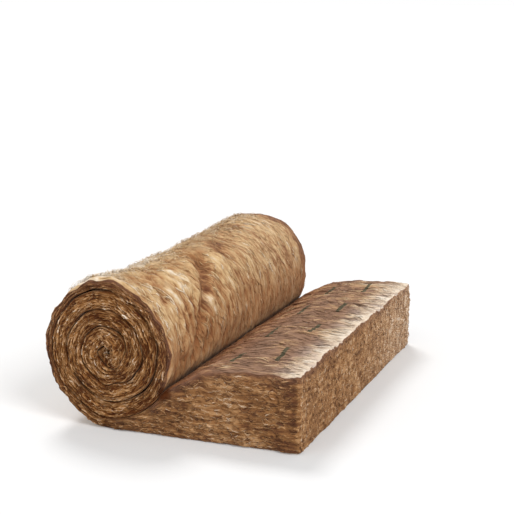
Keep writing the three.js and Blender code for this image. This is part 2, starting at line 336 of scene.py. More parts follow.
class Blanket:
    """The felt as a solid of three coordinates, s, v and y.

    s runs along it in metres from the cut end, over the floor and round the roll to the eye, and is
    measured on the face that lies on the floor and then winds round the outside. v runs from 0 on
    that face to 1 on the other. y is the row's own.

    Every call of noise has a seed of its own. What a place in it is divided by is the size of a
    cell, in metres along s and y and through the depth.
    """

    def __init__(self, scene):
        self.sizes = scene.insulation_sizes
        self.form = scene.insulation_form
        self.relief = scene.insulation_relief
        self.colours = scene.insulation_colours
        sizes = self.sizes
        self.half_width = (HIGH[1] - LOW[1]) / 2
        self.tail = sizes.tail_length
        self.axis_x = HIGH[0] - self.tail
        # The parting line under the axis is one turn in from the floor
        wound = sizes.turn_pitch * self.pitches_wound(1.0)
        self.axis_z = sizes.bed_thickness + sizes.turn_gap + sizes.roll_radius - wound
        wound = sizes.roll_radius - sizes.eye_radius - sizes.inner_end
        self.last_turn = sizes.wind_start + sizes.wind_ease / 2 + wound / sizes.turn_pitch
        self.turn_table = np.linspace(0, self.last_turn, 4001)
        radius = self.outer_radius(self.turn_table)
        steps = np.pi * (radius[1:] + radius[:-1]) * np.diff(self.turn_table)
        self.s_table = self.tail + np.concatenate([[0], np.cumsum(steps)])
        self.end = self.s_table[-1]
        self.top_table = self.top_profile()

    def pitches_wound(self, n):
        """How many pitches the outer face has wound in, n turns from the floor: eased, then even."""
        start, ease = self.sizes.wind_start, self.sizes.wind_ease
        eased = np.clip(n - start, 0, ease)
        return eased**2 / (2 * ease) + np.maximum(0, n - start - ease)

    def outer_radius(self, n):
        """The outer face's radius: it eases from the floor up onto the roll, and winds inwards."""
        sizes = self.sizes
        on_floor = 1 - smooth(n / sizes.lift_turns)
        lifted = sizes.roll_radius + (self.axis_z - sizes.roll_radius) * on_floor
        return lifted - sizes.turn_pitch * self.pitches_wound(n)

    def inner_radius(self, n):
        """The inner face lies on the next turn in, and round the eye draws in to the inner end."""
        sizes = self.sizes
        round_eye = np.maximum(0, n + 1 - self.last_turn)
        next_turn = self.outer_radius(np.minimum(n + 1, self.last_turn))
        return next_turn + sizes.turn_gap - round_eye * (sizes.inner_end + sizes.turn_gap)

    def top_profile(self):
        """x and z of the upper face over the floor: under the roll, up a parabola, then level."""
        sizes = self.sizes
        n = np.linspace(0, sizes.nip_turn - 1, 120)
        radius = self.inner_radius(n)
        under_x = -radius * np.sin(2 * np.pi * n)
        under_z = self.axis_z - radius * np.cos(2 * np.pi * n)
        t = np.linspace(0, 1, 80)[1:]
        swell_x = under_x[-1] + sizes.swell * t
        swell_z = under_z[-1] + (sizes.free_thickness - under_z[-1]) * (2 * t - t**2)
        x = np.concatenate([under_x, swell_x, [self.tail]])
        return x, np.concatenate([under_z, swell_z, [sizes.free_thickness]])

    def turns(self, s):
        """How many turns from the floor a place is: 0 all along the tail."""
        return np.interp(s, self.s_table, self.turn_table)

    def along(self, turns):
        """s where the felt has wound a number of turns: the other way round."""
        return np.interp(turns, self.turn_table, self.s_table)

    def faces(self, s):
        """x and z, from the roll's axis and the floor, of the outer and of the inner face."""
        n = self.turns(s)
        angle = 2 * np.pi * n
        x = self.tail - np.minimum(s, self.tail)
        outer, inner = self.outer_radius(n), self.inner_radius(n)
        wound = s > self.tail
        outer_x = np.where(wound, -outer * np.sin(angle), x)
        outer_z = np.where(wound, self.axis_z - outer * np.cos(angle), 0)
        inner_x = np.where(wound, -inner * np.sin(angle), x)
        top = np.interp(x, *self.top_table)
        inner_z = np.where(wound, self.axis_z - inner * np.cos(angle), top)
        return outer_x, outer_z, inner_x, inner_z

    def through(self, s):
        """The thickness, and x and z of the direction from the outer face to the inner one."""
        outer_x, outer_z, inner_x, inner_z = self.faces(s)
        thick = np.hypot(inner_x - outer_x, inner_z - outer_z)
        return thick, (inner_x - outer_x) / thick, (inner_z - outer_z) / thick

    def puffs(self, along, across):
        """Height of the puffs at a place on the felt, where 1 is a typical one.

        Sine waves of falling length cross one another. Each is turned from the last by the golden
        share of half a turn.
        """
        form = self.form
        golden = (np.sqrt(5) - 1) / 2
        total = 0
        for k in range(form.waves):
            size = form.broadest * (form.finest / form.broadest) ** (k / (form.waves - 1))
            heading = np.pi * golden * k
            distance = along * np.cos(heading) + form.slimness * across * np.sin(heading)
            total = total - np.sin(2 * np.pi * (distance / size + golden * k**2))
        return total * np.sqrt(2 / form.waves)

    def fold(self, n, y):
        """Depth of the folds in the roll. Each falls off as a bell beside its line and past its ends."""
        total = 0
        for start, end, depth, half in FOLDS:
            run = np.subtract(end, start)
            part = (n - start[0]) / run[0]
            beside = (y - start[1] - run[1] * np.clip(part, 0, 1)) / half
            fade = smooth((part + 0.15) / 0.3) * smooth((1.15 - part) / 0.3)
            total = total + depth * fade * bell(beside)
        return total

    def skin_form(self, n, y):
        """How far the roll's skin stands out from its plain round, by its puffs, bulges and folds.

        Every turn has the form of the outermost one.
        """
        sizes, form = self.sizes, self.form
        n = n - np.floor(n)
        shown = smooth(n / form.floor_fade) * smooth((sizes.nip_turn - n) / form.nip_fade)
        height = form.skin_puff * self.puffs(2 * np.pi * sizes.roll_radius * n, y)
        for middle, half, rise in BULGES:
            height = height + rise * spot((n, y), middle, half)
        return shown * (height - self.fold(n, y))

    def top_form(self, x, y):
        """How far the top of the unrolled part stands up from its plain profile, x from the axis."""
        form = self.form
        nip_x, _ = self.nip()
        return form.top_puff * smooth((x - nip_x) / form.top_fade) * self.puffs(-x, y)

    def formed(self, s, v, y, x, z):
        """Moves points by the broad form. Every turn follows the skin, less and less to the eye."""
        radius = np.hypot(x, z - self.axis_z)
        out = 1 + self.skin_form(self.turns(s), y) * radius / self.sizes.roll_radius**2
        wound = s > self.tail
        raised = z + v * self.top_form(x, y)
        wound_z = self.axis_z + (z - self.axis_z) * out
        return np.where(wound, x * out, x), np.where(wound, wound_z, raised)

    def crease(self, a, b, creases):
        """A sum of sharp grooves, which fall off from their lines as bells and sway a little."""
        total = 0
        for start, end, depth, half in creases:
            run = np.subtract(end, start)
            along = ((a - start[0]) * run[0] + (b - start[1]) * run[1]) / (run @ run)
            sway = 0.35 * half * noise(90, along * 6, b * 3)
            # The distance is measured along b, because every crease runs mostly along a.
            off = b - start[1] - np.clip(along, 0, 1) * run[1] + sway
            fade = smooth((along + 0.1) / 0.25) * smooth((1.1 - along) / 0.25)
            total = total + depth * fade * bell(off / half)
        return total

    def skin_relief(self, s, y):
        """How high the outer face stands, and how far up its locks a place is, from -1 to 1.

        Towards the near end the skin is torn into narrow crests and broad puckers, and towards the
        far end it is combed into fine locks round the roll.
        """
        n = self.turns(s)
        sizes, relief = self.sizes, self.relief
        shown = smooth((s - self.tail - 0.02) / 0.12) * smooth((sizes.nip_turn + 0.01 - n) / 0.05)
        sway = 0.022 * noise(11, s / 0.20, y / 0.15) + 0.10 * (s - self.tail) * smooth((0.2 - y) / 0.5)
        torn = -creased(12, 2, s / 0.075, (y + sway) / 0.042)
        combed = creased(18, 2, s / 0.065, (y + sway) / 0.0175)
        loose = smooth((0.20 - y) / 0.45)
        ropes = 0.45 + 0.8 * smooth(0.5 + 0.9 * noise(16, s / 0.12, y / 0.10))
        puckered = 1.5 * torn + 0.7 * creased(19, 2, s / 0.11, (y + sway) / 0.085)
        locks = ropes * (0.6 * combed + loose * (puckered - 0.6 * combed))
        fleece = noise(14, s / 0.030, (y + 0.5 * sway) / 0.016)
        grooves = self.crease(n, y, ROLL_CREASES)
        height = relief.lock_height * locks + 0.0014 * fleece
        broad = self.skin_form(n, y) / 0.014
        # Low values in the second become painted shade, so creases and folds count as deepest
        dark = grooves / 0.006 + 0.5 * self.fold(n, y) / 0.010
        return shown * (height - grooves), 0.5 * locks + 0.3 * fleece + 0.3 * broad - dark

    def top_relief(self, s, y):
        """How high the upper face stands over the tail, and how far up its ridges a place is.

        The ridges are narrow crests that waver along the felt, over broad hollows.
        """
        relief = self.relief
        x = self.tail - s
        shown = smooth((x - 0.175) / 0.09)
        sway = 0.026 * noise(21, s / 0.15, y / 0.12)
        ridges = -creased(22, 2, s / 0.150, (y + sway) / 0.055)
        strands = noise(25, s / 0.040, (y + sway) / 0.012)
        grooves = self.crease(x + self.axis_x, y, TAIL_CREASES)
        # The dashes are printed on flatter felt
        flatter = 1 - 0.65 * sum(bell((s - row) / MARK_BED) for row, _ in MARK_ROWS)
        height = flatter * (relief.ridge_height * ridges - grooves) + 0.0008 * strands
        broad = self.top_form(x, y) / 0.008
        # Low values in the second become painted shade, so the grooves count as deepest
        return shown * height, 0.8 * ridges + 0.15 * strands + 0.2 * broad - grooves / 0.008

    def side_relief(self, s, v, y):
        """How high a side stands, and how far up its layers a place is.

        Whole turns stand out unevenly. On them lie the edges of the felt's layers, and on those
        lie torn flakes. The middle of the roll is a little sunk.
        """
        relief = self.relief
        # The far side reads the noise at another place
        far = 40.0 * (y > 0)
        n = self.turns(s)
        depth = v * self.through(s)[0]
        wound = smooth(n / 0.3)
        sway = 0.13 * noise(31, s / 0.090, v * 2.5 + far) + 0.05 * noise(33, s / 0.035, v * 5 + far)
        layers = creased(32, 2, s / (0.075 + 0.045 * wound) + far, (v + sway) * (16 - 8 * wound))
        flakes = creased(34, 2, s / 0.022 + far, depth / 0.010)
        turns = noise(37, s / 0.20 + far, v * 1.3)
        sunk = 0.006 * wound * bell(self.outer_radius(n) / 0.080)
        coarse = layered(38, 2, s / 0.14 + far, depth / 0.08)
        height = relief.lamina_height * layers + relief.flake_height * flakes
        height = height + 0.007 * wound * turns + 0.004 * (1 - wound) * coarse - sunk
        return height, (0.42 + 0.18 * wound) * layers + 0.35 * flakes + 0.15 * coarse

    def cut_relief(self, y, v):
        """How high the cut end stands, and how far up its flakes a place is.

        The knife went a little astray, and tore the felt into flakes taller than they are wide.
        """
        relief = self.relief
        height = v * self.sizes.free_thickness
        wave = layered(41, 2, y / 0.20, height / 0.15)
        sway = 0.006 * noise(42, y / 0.03, height / 0.03)
        flakes = creased(43, 2, (y + sway) / 0.018, (height + sway) / 0.024)
        fine = noise(45, y / 0.008, height / 0.009)
        rise = 0.004 * wave + 0.9 * relief.flake_height * flakes + 0.0015 * fine
        return rise, 0.55 * flakes + 0.25 * fine + 0.15 * wave

    def nip(self):
        """x and z of the line where the tail parts from the roll."""
        turn = self.sizes.nip_turn
        radius, angle = self.outer_radius(turn), 2 * np.pi * turn
        return -radius * np.sin(angle), self.axis_z - radius * np.cos(angle)

    def gape(self, s, y):
        """How far the inner face draws back from the next turn, which opens a dark line.

        It is what a broad noise has above a level.
        """
        wound = smooth((self.turns(s) - 0.02) / 0.15)
        gape = np.clip(layered(51, 2, s / 0.19, y / 0.5) + 0.15, 0, None)
        return self.relief.open_gap * wound * gape

    def swayed(self, x, y, z):
        """The turns are a little out of round, and the middle of the roll is crumpled and shut.

        Each point is moved by smooth noise of its place, which fades out towards the floor.
        Neighbouring points move together, so no two turns can meet. Round the eye, points are also
        drawn towards the axis.
        """
        lifted = smooth(z / 0.10)
        from_axis = np.hypot(x - self.axis_x, z - self.axis_z)
        crumpled = 0.0025 + 0.008 * bell(from_axis / 0.12)
        off_x = crumpled * noise(63, x / 0.055, y / 0.10, z / 0.055)
        off_z = crumpled * noise(64, x / 0.055, y / 0.10, z / 0.055)
        shut = 0.97 * bell(from_axis / 0.030)
        off_x = off_x - shut * (x - self.axis_x)
        off_z = off_z - shut * (z - self.axis_z)
        return x + lifted * off_x, z + lifted * off_z

    def place(self, s, v, y):
        """x, y and z in the row frame, with all the relief, as an array with 3 numbers a point.

        A point starts on the outer face and goes its share of the thickness towards the inner one.
        Each face's relief moves it by less the further it lies from that face. Then the broad form
        is put on, and the turns are swayed.
        """
        s, v, y = (np.asarray(a, float) for a in np.broadcast_arrays(s, v, y))
        relief = self.relief
        outer_x, outer_z = self.faces(s)[:2]
        thick, in_x, in_z = self.through(s)
        over = v - np.clip(v, 0, 1)
        v = v - over

        # Distances to the faces, and what rounding their edges takes off
        to_face = np.minimum(v, 1 - v) * thick
        to_side = np.clip(self.half_width - np.abs(y), 0, None)
        inner_turns = 1 - 0.4 * smooth((self.turns(s) - 0.8) / 0.2)
        edge = relief.edge_round * inner_turns * (1 + 0.5 * noise(71, s / 0.07, y * 9))
        edge = np.minimum(edge, 0.42 * thick)
        cut = relief.cut_round
        off_face = rounded(to_face, to_side, edge) + rounded(to_face, s, cut)
        off_side = rounded(to_side, to_face, edge) + rounded(to_side, s, cut)
        off_end = rounded(s, to_face, cut) + rounded(s, to_side, cut)

        # Through the thickness
        depth = (v + over) * thick + np.where(v < 0.5, off_face, -off_face)
        depth = depth - self.skin_relief(s, y)[0] * (1 - v) ** 2
        depth = depth + (self.top_relief(s, y)[0] - self.gape(s, y)) * v**2
        x, z = outer_x + in_x * depth, outer_z + in_z * depth

        # Across the width, and along it at the cut end
        near_side = np.clip(1 - to_side / RELIEF_DEPTH, 0, 1) ** 2
        side = np.where(y > 0, 1, -1)
        y = y + side * (near_side * self.side_relief(s, v, y)[0] - off_side)
        near_cut = np.clip(1 - s / RELIEF_DEPTH, 0, 1) ** 2
        x = x + near_cut * self.cut_relief(y, v)[0] - off_end

        x, z = self.formed(s, v, y, x, z)
        x, z = self.swayed(x + self.axis_x, y, z)
        return np.stack([x, y, np.maximum(z, 0)], axis=-1) + (0, 0, LOW[2])

    def outward(self, face, s):
        """The direction that a face looks in, before its relief."""
        thick, in_x, in_z = self.through(s)
        flat, one = np.zeros_like(thick), np.ones_like(thick)
        inward = np.stack([in_x, flat, in_z], axis=-1)
        directions = {
            "skin": -inward,
            "top": inward,
            "near": np.stack([flat, -one, flat], axis=-1),
            "far": np.stack([flat, one, flat], axis=-1),
            "cut": np.stack([one, flat, flat], axis=-1),
        }
        return directions[face]


# ---- Meshes ----

BAKE_MAP = "OFBake"  # the name by which a bake finds a piece's flat map

# The spacing of the grid's lines where they show, the layers of squares through the felt, and the
# fewest lines in one turn
STEP_ACROSS = 0.0051
STEP_ALONG = 0.009
LAYERS = 27
LEAST_A_TURN = 44
# Closer lines along the rounded edges: their distances from the sides, their shares of the
# thickness, and their distances from the cut end
EDGE_LINES = (0, 0.002, 0.005, 0.009)
EDGE_LAYERS = (0, 0.012, 0.03, 0.06)
CUT_LINES = (0, 0.002, 0.005)
# Which columns hidden faces keep: these from both sides, and one in so many between
HIDDEN_COLUMNS = (0, 1, 2, 3, 5, 8, 13, 22, 40)
HIDDEN_STEP = 60
# How far inside the nip and the bed the roll's skin starts to count as hidden, in turns
PAST_NIP = 0.04
OFF_FLOOR = 0.015


def new_piece(name, points, faces, attributes, places, material):
    """A mesh object from arrays.

    They are its points, a list of face arrays, a value or vector per point, and each face corner's
    place in the flat map.
    """
    mesh = bpy.data.meshes.new(name)
    corners = np.concatenate([f.ravel() for f in faces]).astype(np.int32)
    totals = np.concatenate([np.full(len(f), f.shape[1]) for f in faces]).astype(np.int32)
    mesh.vertices.add(len(points))
    mesh.vertices.foreach_set("co", np.asarray(points, np.float32).ravel())
    mesh.loops.add(len(corners))
    mesh.loops.foreach_set("vertex_index", corners)
    mesh.polygons.add(len(totals))
    starts = np.concatenate([[0], np.cumsum(totals)[:-1]]).astype(np.int32)
    mesh.polygons.foreach_set("loop_start", starts)
    mesh.polygons.foreach_set("use_smooth", np.ones(len(totals), bool))
    for key, values in attributes.items():
        values = np.asarray(values, np.float32)
        vector = values.ndim == 2
        layer = mesh.attributes.new(key, "FLOAT_VECTOR" if vector else "FLOAT", "POINT")
        layer.data.foreach_set("vector" if vector else "value", values.ravel())
    flat_map = mesh.uv_layers.new(name=BAKE_MAP)
    flat_map.uv.foreach_set("vector", np.asarray(places, np.float32).ravel())
    mesh.update(calc_edges=True)
    mesh.validate()
    piece = bpy.data.objects.new(name, mesh)
    bpy.context.collection.objects.link(piece)
    mesh.materials.append(material)
    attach(piece, "root")
    return piece


def grid(rows, columns, key, flip=False):
    """Squares between neighbouring rows and columns, as the keys of their four corners."""
    r, c = rows[:, None], columns[None, :]
    corners = [
        key(r[:-1], c[:, :-1]),
        key(r[:-1], c[:, 1:]),
        key(r[1:], c[:, 1:]),
        key(r[1:], c[:, :-1]),
    ]
    squares = np.stack(np.broadcast_arrays(*corners), axis=-1).reshape(-1, 4)
    return squares[:, ::-1] if flip else squares


def zipper(fine, coarse, fine_row, coarse_row, key, flip):
    """Triangles that join a row with many columns to the next row, which has only some of them.

    Each stretch of the fine row goes to the coarse column that lies nearest its middle. Each
    stretch of the coarse row goes to the fine column where that choice changes.
    """
    middle = (fine[:-1] + fine[1:]) / 2
    nearest = np.abs(middle[:, None] - coarse[None, :]).argmin(axis=1)
    change = np.searchsorted(nearest, np.arange(len(coarse) - 1), side="right")
    a = [key(fine_row, fine[:-1]), key(fine_row, fine[1:]), key(coarse_row, coarse[nearest])]
    b = [key(coarse_row, coarse[1:]), key(coarse_row, coarse[:-1]), key(fine_row, fine[change])]
    triangles = np.concatenate([np.stack(a, axis=-1), np.stack(b, axis=-1)])
    return triangles[:, ::-1] if flip else triangles


def spaced(low, high, step, edges):
    """Places from low to high a step apart, with the given distances from both ends added."""
    edges = np.asarray(edges)
    inside = np.linspace(low + edges[-1], high - edges[-1], int(np.ceil((high - low) / step)))
    return np.concatenate([low + edges[:-1], inside, high - edges[:-1][::-1]])


def blanket_lines(blanket):
    """The grid's lines along s, through v and across y, and which columns hidden faces keep."""
    y = spaced(-blanket.half_width, blanket.half_width, STEP_ACROSS, EDGE_LINES)
    v = spaced(0, 1, 1 / LAYERS, EDGE_LAYERS)
    flat = np.concatenate([CUT_LINES, np.arange(2 * CUT_LINES[-1], blanket.tail, STEP_ALONG)])
    # Round the roll the lines are as close, and near the eye closer, for a turn to stay round
    radius = blanket.outer_radius(blanket.turn_table)
    lines = np.maximum(2 * np.pi * radius / STEP_ALONG, LEAST_A_TURN)
    count = np.cumsum(lines[1:] * np.diff(blanket.turn_table))
    wanted = np.arange(1, int(count[-1]) + 1) * count[-1] / int(count[-1])
    turns = np.interp(wanted, count, blanket.turn_table[1:])
    s = np.concatenate([flat, [blanket.tail], blanket.along(turns)])
    edge, last = np.array(HIDDEN_COLUMNS), len(y) - 1
    between = np.arange(2 * edge[-1], last - edge[-1], HIDDEN_STEP)
    return s, v, y, np.unique(np.concatenate([edge, between, last - edge]))


def long_face(rows, hidden_rows, fine, coarse, key, flip):
    """A face along the blanket: fine where it shows, coarse where it is hidden, zipped between."""
    faces = []
    for first, last in zip(rows[:-1], rows[1:]):
        if hidden_rows[first] == hidden_rows[last]:
            columns = coarse if hidden_rows[first] else fine
            faces.append(grid(np.array([first, last]), columns, key, flip))
        elif hidden_rows[first]:
            faces.append(zipper(fine, coarse, last, first, key, not flip))
        else:
            faces.append(zipper(fine, coarse, first, last, key, flip))
    squares = [f for f in faces if f.shape[1] == 4]
    return [np.concatenate(squares), *(f for f in faces if f.shape[1] == 3)]


# The room of each side of the box in the flat map, as its left, right, lower and upper bound
MAP_ROOMS = {
    "skin": (0.00, 0.70, 0.37, 1.00),
    "top": (0.70, 1.00, 0.37, 1.00),
    "near": (0.00, 1.00, 0.25, 0.37),
    "far": (0.00, 1.00, 0.13, 0.25),
    "cut": (0.00, 0.80, 0.00, 0.13),
    "end": (0.80, 1.00, 0.00, 0.13),
}
MAP_MARGIN = 0.002


def felt_places(blanket, side, s, v, y):
    """Places in the flat map of corners on a side of the box. Lengths that are hidden get less room."""
    nip = blanket.along(blanket.sizes.nip_turn)
    across = y / (2 * blanket.half_width) + 0.5
    if side == "skin":
        place = np.interp(s, [0, blanket.tail, nip, blanket.end], [0, 0.14, 0.88, 1]), across
    elif side == "top":
        place = np.interp(s, [0, blanket.tail - TOP_COVER, blanket.end], [0, 0.8, 1]), across
    elif side in ("near", "far"):
        place = s / blanket.end, v
    else:
        place = across, v
    left, right, low, high = MAP_ROOMS[side]
    place = np.stack(place, axis=-1) * (right - left - 2 * MAP_MARGIN, high - low - 2 * MAP_MARGIN)
    return place + (left + MAP_MARGIN, low + MAP_MARGIN)


def blanket_mesh(blanket):
    """Points in s, v and y, faces, and the corners' places in the flat map, of the closed box of felt.

    Every point of the grid has one key, made of its three line numbers, so faces that meet at an
    edge share its points.
    """
    s, v, y, hidden = blanket_lines(blanket)
    rows, layers, columns = np.arange(len(s)), np.arange(len(v)), np.arange(len(y))
    turns = blanket.turns(s)
    on_floor = (s > 0) & (turns < OFF_FLOOR)
    skin_hidden = (turns > blanket.sizes.nip_turn + PAST_NIP) | on_floor
    top_hidden = s > blanket.tail - TOP_COVER - 0.02
    top, far, end = layers[-1], columns[-1], rows[-1]

    def key(i, k, j):
        """Counts through the columns, then the layers, then the rows."""
        return (i * len(v) + k) * len(y) + j

    sides = {
        "near": [grid(rows, layers, lambda i, k: key(i, k, 0))],
        "far": [grid(rows, layers, lambda i, k: key(i, k, far), flip=True)],
        "cut": [grid(layers, columns, lambda k, j: key(0, k, j))],
        "end": [grid(layers, hidden, lambda k, j: key(end, k, j), flip=True)],
        "skin": long_face(rows, skin_hidden, columns, hidden, lambda i, j: key(i, 0, j), True),
        "top": long_face(rows, top_hidden, columns, hidden, lambda i, j: key(i, top, j), False),
    }
    faces = [f for own in sides.values() for f in own]
    keys, index = np.unique(np.concatenate([f.ravel() for f in faces]), return_inverse=True)
    ends = np.cumsum([f.size for f in faces])
    faces = [part.reshape(f.shape) for part, f in zip(np.split(index, ends[:-1]), faces)]
    i, rest = np.divmod(keys, len(v) * len(y))
    k, j = np.divmod(rest, len(y))
    s, v, y = s[i], v[k], y[j]
    names = [side for side, own in sides.items() for _ in own]
    corners = zip(names, (f.ravel() for f in faces))
    places = [felt_places(blanket, side, s[at], v[at], y[at]) for side, at in corners]
    return s, v, y, faces, np.concatenate(places)


RUBBED_DEPTH = 0.014  # where the rubbed look has fallen to 0.37, going in from the skin
# The dark of the nip and of the parting lines is painted shade
PARTING_SHADE_DEPTH = 0.0032  # and the dark of a parting line, going into the felt
NIP_SHADE_REACH = (0.026, 0.038)  # how far from the nip its dark ends, on the roll and on the tail
NIP_SHADE_FADE = 0.018  # the length over which it ends


def felt_attributes(blanket, s, v, y):
    """What the material reads: the place in the felt, how far it is up its relief, and the face.

    Rubbed is 1 beside the skin that shows, less so by the floor, and falls off into the felt.
    Hidden is 1 in the nip and where two turns part, and falls off around them: it is painted shade
    in the wedge of the nip and in the parting lines. Pale is above 0 in the patches of whiter fuzz,
    the two along the crest also being a painted highlight, and on the sides round the eye, where it
    is painted light that lifts the shade of the crevices. The faces between two turns have no skin
    that shows, so they count as cut.
    """
    thick = blanket.through(s)[0]
    n, nip_turn = blanket.turns(s), blanket.sizes.nip_turn
    radius = blanket.outer_radius(n)
    on_side = np.abs(np.abs(y) - blanket.half_width) < ON_LINE
    on_cut = s < ON_LINE
    open_top = s < blanket.tail - TOP_COVER
    between = ((v < 0.5) & (n > nip_turn)) | ((v > 0.5) & ~open_top)
    skin, top = blanket.skin_relief(s, y)[1], blanket.top_relief(s, y)[1]
    side, cut = blanket.side_relief(s, v, y)[1], blanket.cut_relief(y, v)[1]
    up = np.where(on_side, side, np.where(on_cut, cut, np.where(v > 0.5, top, skin)))

    below_skin = np.where(n < nip_turn, np.maximum(v, 0) * thick, 1)
    below_top = np.where(open_top, (1 - v) * thick, 1)
    off_floor = 0.15 + 0.85 * smooth(n / 0.20)
    by_skin = off_floor * np.exp(-below_skin / RUBBED_DEPTH)
    by_top = np.exp(-below_top / RUBBED_DEPTH)

    outer_x, outer_z, inner_x, inner_z = blanket.faces(s)
    x, z = outer_x + v * (inner_x - outer_x), outer_z + v * (inner_z - outer_z)
    # Painted shade in the wedge of the nip, and along the lines where two turns part
    nip_x, nip_z = blanket.nip()
    reach = np.where(v < 0.5, *NIP_SHADE_REACH)
    nip_crease_shade = smooth((reach - np.hypot(x - nip_x, z - nip_z)) / NIP_SHADE_FADE)
    to_outer = np.where(n > nip_turn, v * thick, 1)
    to_inner = np.where(n > 0.02, (1 - v) * thick, 1)
    parting = np.exp(-np.clip(np.minimum(to_outer, to_inner), 0, None) / PARTING_SHADE_DEPTH)
    parting = 0.85 * parting * smooth(0.4 + 1.1 * noise(81, s / 0.10, y * 2))
    parting = parting * smooth(radius / 0.09 - 0.2)

    # The patches along the crest are also a painted highlight
    patches = sum(white * spot((n, y), middle, half) for middle, half, white in PALE_PATCHES)
    broken = smooth(0.5 + 1.1 * layered(82, 2, s / 0.030, y / 0.035))
    # Painted light round the eye on the sides, which lifts the shade of its crevices
    by_eye = 0.16 * bell(radius / 0.045)
    return {
        "felt": np.stack([s, v * thick, y], axis=-1),
        # How far up its relief: painted shade in the hollows and painted highlight on the crests
        "ridge": np.clip(0.5 + 0.5 * up, 0, 1),
        "cut": np.where(on_side | on_cut | between, 1.0, 0.0),
        "upper": v,
        "rubbed": np.maximum(by_skin, by_top),
        # Painted shade in the nip and the parting lines
        "hidden": np.clip(nip_crease_shade + parting, 0, 1),
        "pale": np.where(on_side, by_eye, patches * broken * (v < 0.5)),
    }


# ---- Materials ----

# The patterns of the wool: the size of a cell in millimetres along, through and across the felt, and
# the detail and roughness of its noise. A glass fibre is a few thousandths of a millimetre thick,
# too fine to show, so the finest patterns are drawn as locks and layers about 4 mm thick.
WOOL_PATTERNS = {
    "combed": ((22, 40, 3.8), 4.0, 0.65),  # locks, drawn out along the skin
    "mottled": ((50, 50, 28), 5.0, 0.62),  # tufts of fuzz
    "stained": ((140, 300, 100), 2.0, 0.55),  # binder that has set unevenly
    "streaked": ((120, 50, 14), 3.0, 0.55),  # ropes of locks
    "torn": ((22, 3.6, 7), 4.0, 0.70),  # fibres pulled out of the cut faces
    "split_layers": ((95, 12, 35), 3.0, 0.55),  # the layers that the fibres were laid in
    "ragged": ((10, 20, 6), 3.0, 0.55),  # the locks that an edge of ink follows
}

# How far up from the hollows' colour a place on the skin is: a level, and terms that are added to
# it. A term is a weight and the fields that it multiplies.
SKIN_LEVEL = 0.43
SKIN_TERMS = (
    # The ridge paints shade into hollows, creases and folds, and highlight onto crests
    (0.50, "ridge"),
    (0.50, "combed"),
    (0.85, "mottled"),
    (0.60, "stained"),
    (0.46, "shade"),
    (1.00, "pale"),
    (0.08, "to_far"),
    # The tail's top is darker, with bolder ridges, and is palest at the cut end
    (-0.58, "on_tail"),
    # Its bolder ridges paint more shade and highlight
    (0.80, "on_tail", "ridge"),
    # Painted shade of the roll on the tail's top towards the nip
    (-0.06, "roll_shade_on_tail"),
    # Paler fuzz, and a painted highlight where the cut edge catches the light
    (0.62, "by_cut"),
    # The roll's far rim is darker: painted shade where the roll turns away at its end
    (-0.50, "far_rim_shade"),
    (0.40, "far_rim_shade", "on_tail"),
    # Locks show as ropes low on the roll and on its far half
    (1.25, "ropy", "streaked"),
    (0.70, "ropy", "combed"),
)
# The same for the cut faces: the sides and the cut end
CUT_LEVEL = 0.36
CUT_TERMS = (
    # The ridge paints shade between layers and flakes, and highlight on their crests
    (0.32, "ridge"),
    (0.78, "torn"),
    (0.42, "split_layers"),
    (0.55, "mottled"),
    (0.35, "stained"),
    (0.72, "shade"),
    (1.00, "pale"),
    # Paler towards the far side, which is painted light
    (0.20, "to_far"),
    # The roll's layers are bolder, and the tail's a little
    (-0.04, "in_roll"),
    (0.72, "in_roll", "torn"),
    (0.34, "in_roll", "ridge"),
    (0.35, "in_roll", "split_layers"),
    (0.40, "on_tail", "split_layers"),
    # The far half of the cut end is torn into strong flakes
    (2.60, "to_far", "on_end", "torn"),
    (1.30, "to_far", "on_end", "mottled"),
    # It is darker beside the skin, under the top by the nip, and on the sides by the cut end
    (-0.20, "rubbed"),
    # Under the top by the nip, the darkening is painted shade of the roll
    (-0.14, "roll_shade_on_tail", "upper"),
    (-0.24, "by_cut", "off_end"),
)

# The colours from hollow to crest, each with its place on the way
# Their darks and lights are partly painted shade and painted highlight
SKIN_COLOURS = ((0.05, "skin_deep"), (0.30, "skin_low"), (0.62, "skin_mid"), (1.0, "skin_high"))
CUT_COLOURS = ((0.08, "cut_deep_shade"), (0.34, "cut_low"), (0.60, "cut_mid"), (1.0, "cut_high"))

# Washes over those colours: a colour, and the terms of how much it covers
SKIN_WASHES = (
    ("upper", (0.36, "greyer")),
    # Paler fuzz by the cut end and in patches, with painted highlight along the crest and cut edge
    ("pale_fuzz_and_highlight", (0.36, "by_cut"), (0.22, "pale")),
    # Painted shade on both sides of the nip, in a warmer brown
    ("warm_nip_shade", (0.55, "roll_shade_on_tail"), (0.55, "above_nip")),
)
CUT_WASHES = (
    ("upper", (0.07, "on_tail"), (0.24, "on_tail", "to_far")),
    ("rubbed", (0.45, "rubbed")),
)
LAST_WASHES = (
    # Painted shade in the nip and the parting lines, then the ink
    ("cut_deep_shade", (1.0, "hidden")),
    ("ink", (0.92, "inked", "on_top")),
)

# The fine height of the fuzz: tufts and locks on the skin, and torn fibres on the cut faces
FUZZ_TERMS = ((0.50, "uncut", "combed"), (0.90, "uncut", "mottled"), (1.0, "cut", "torn"))
FUZZ_DEPTH = 2.5 * MM
FUZZ_SHEEN = 0.10

INK_SWAY = 2.4 * MM  # how far the edges of the ink wander


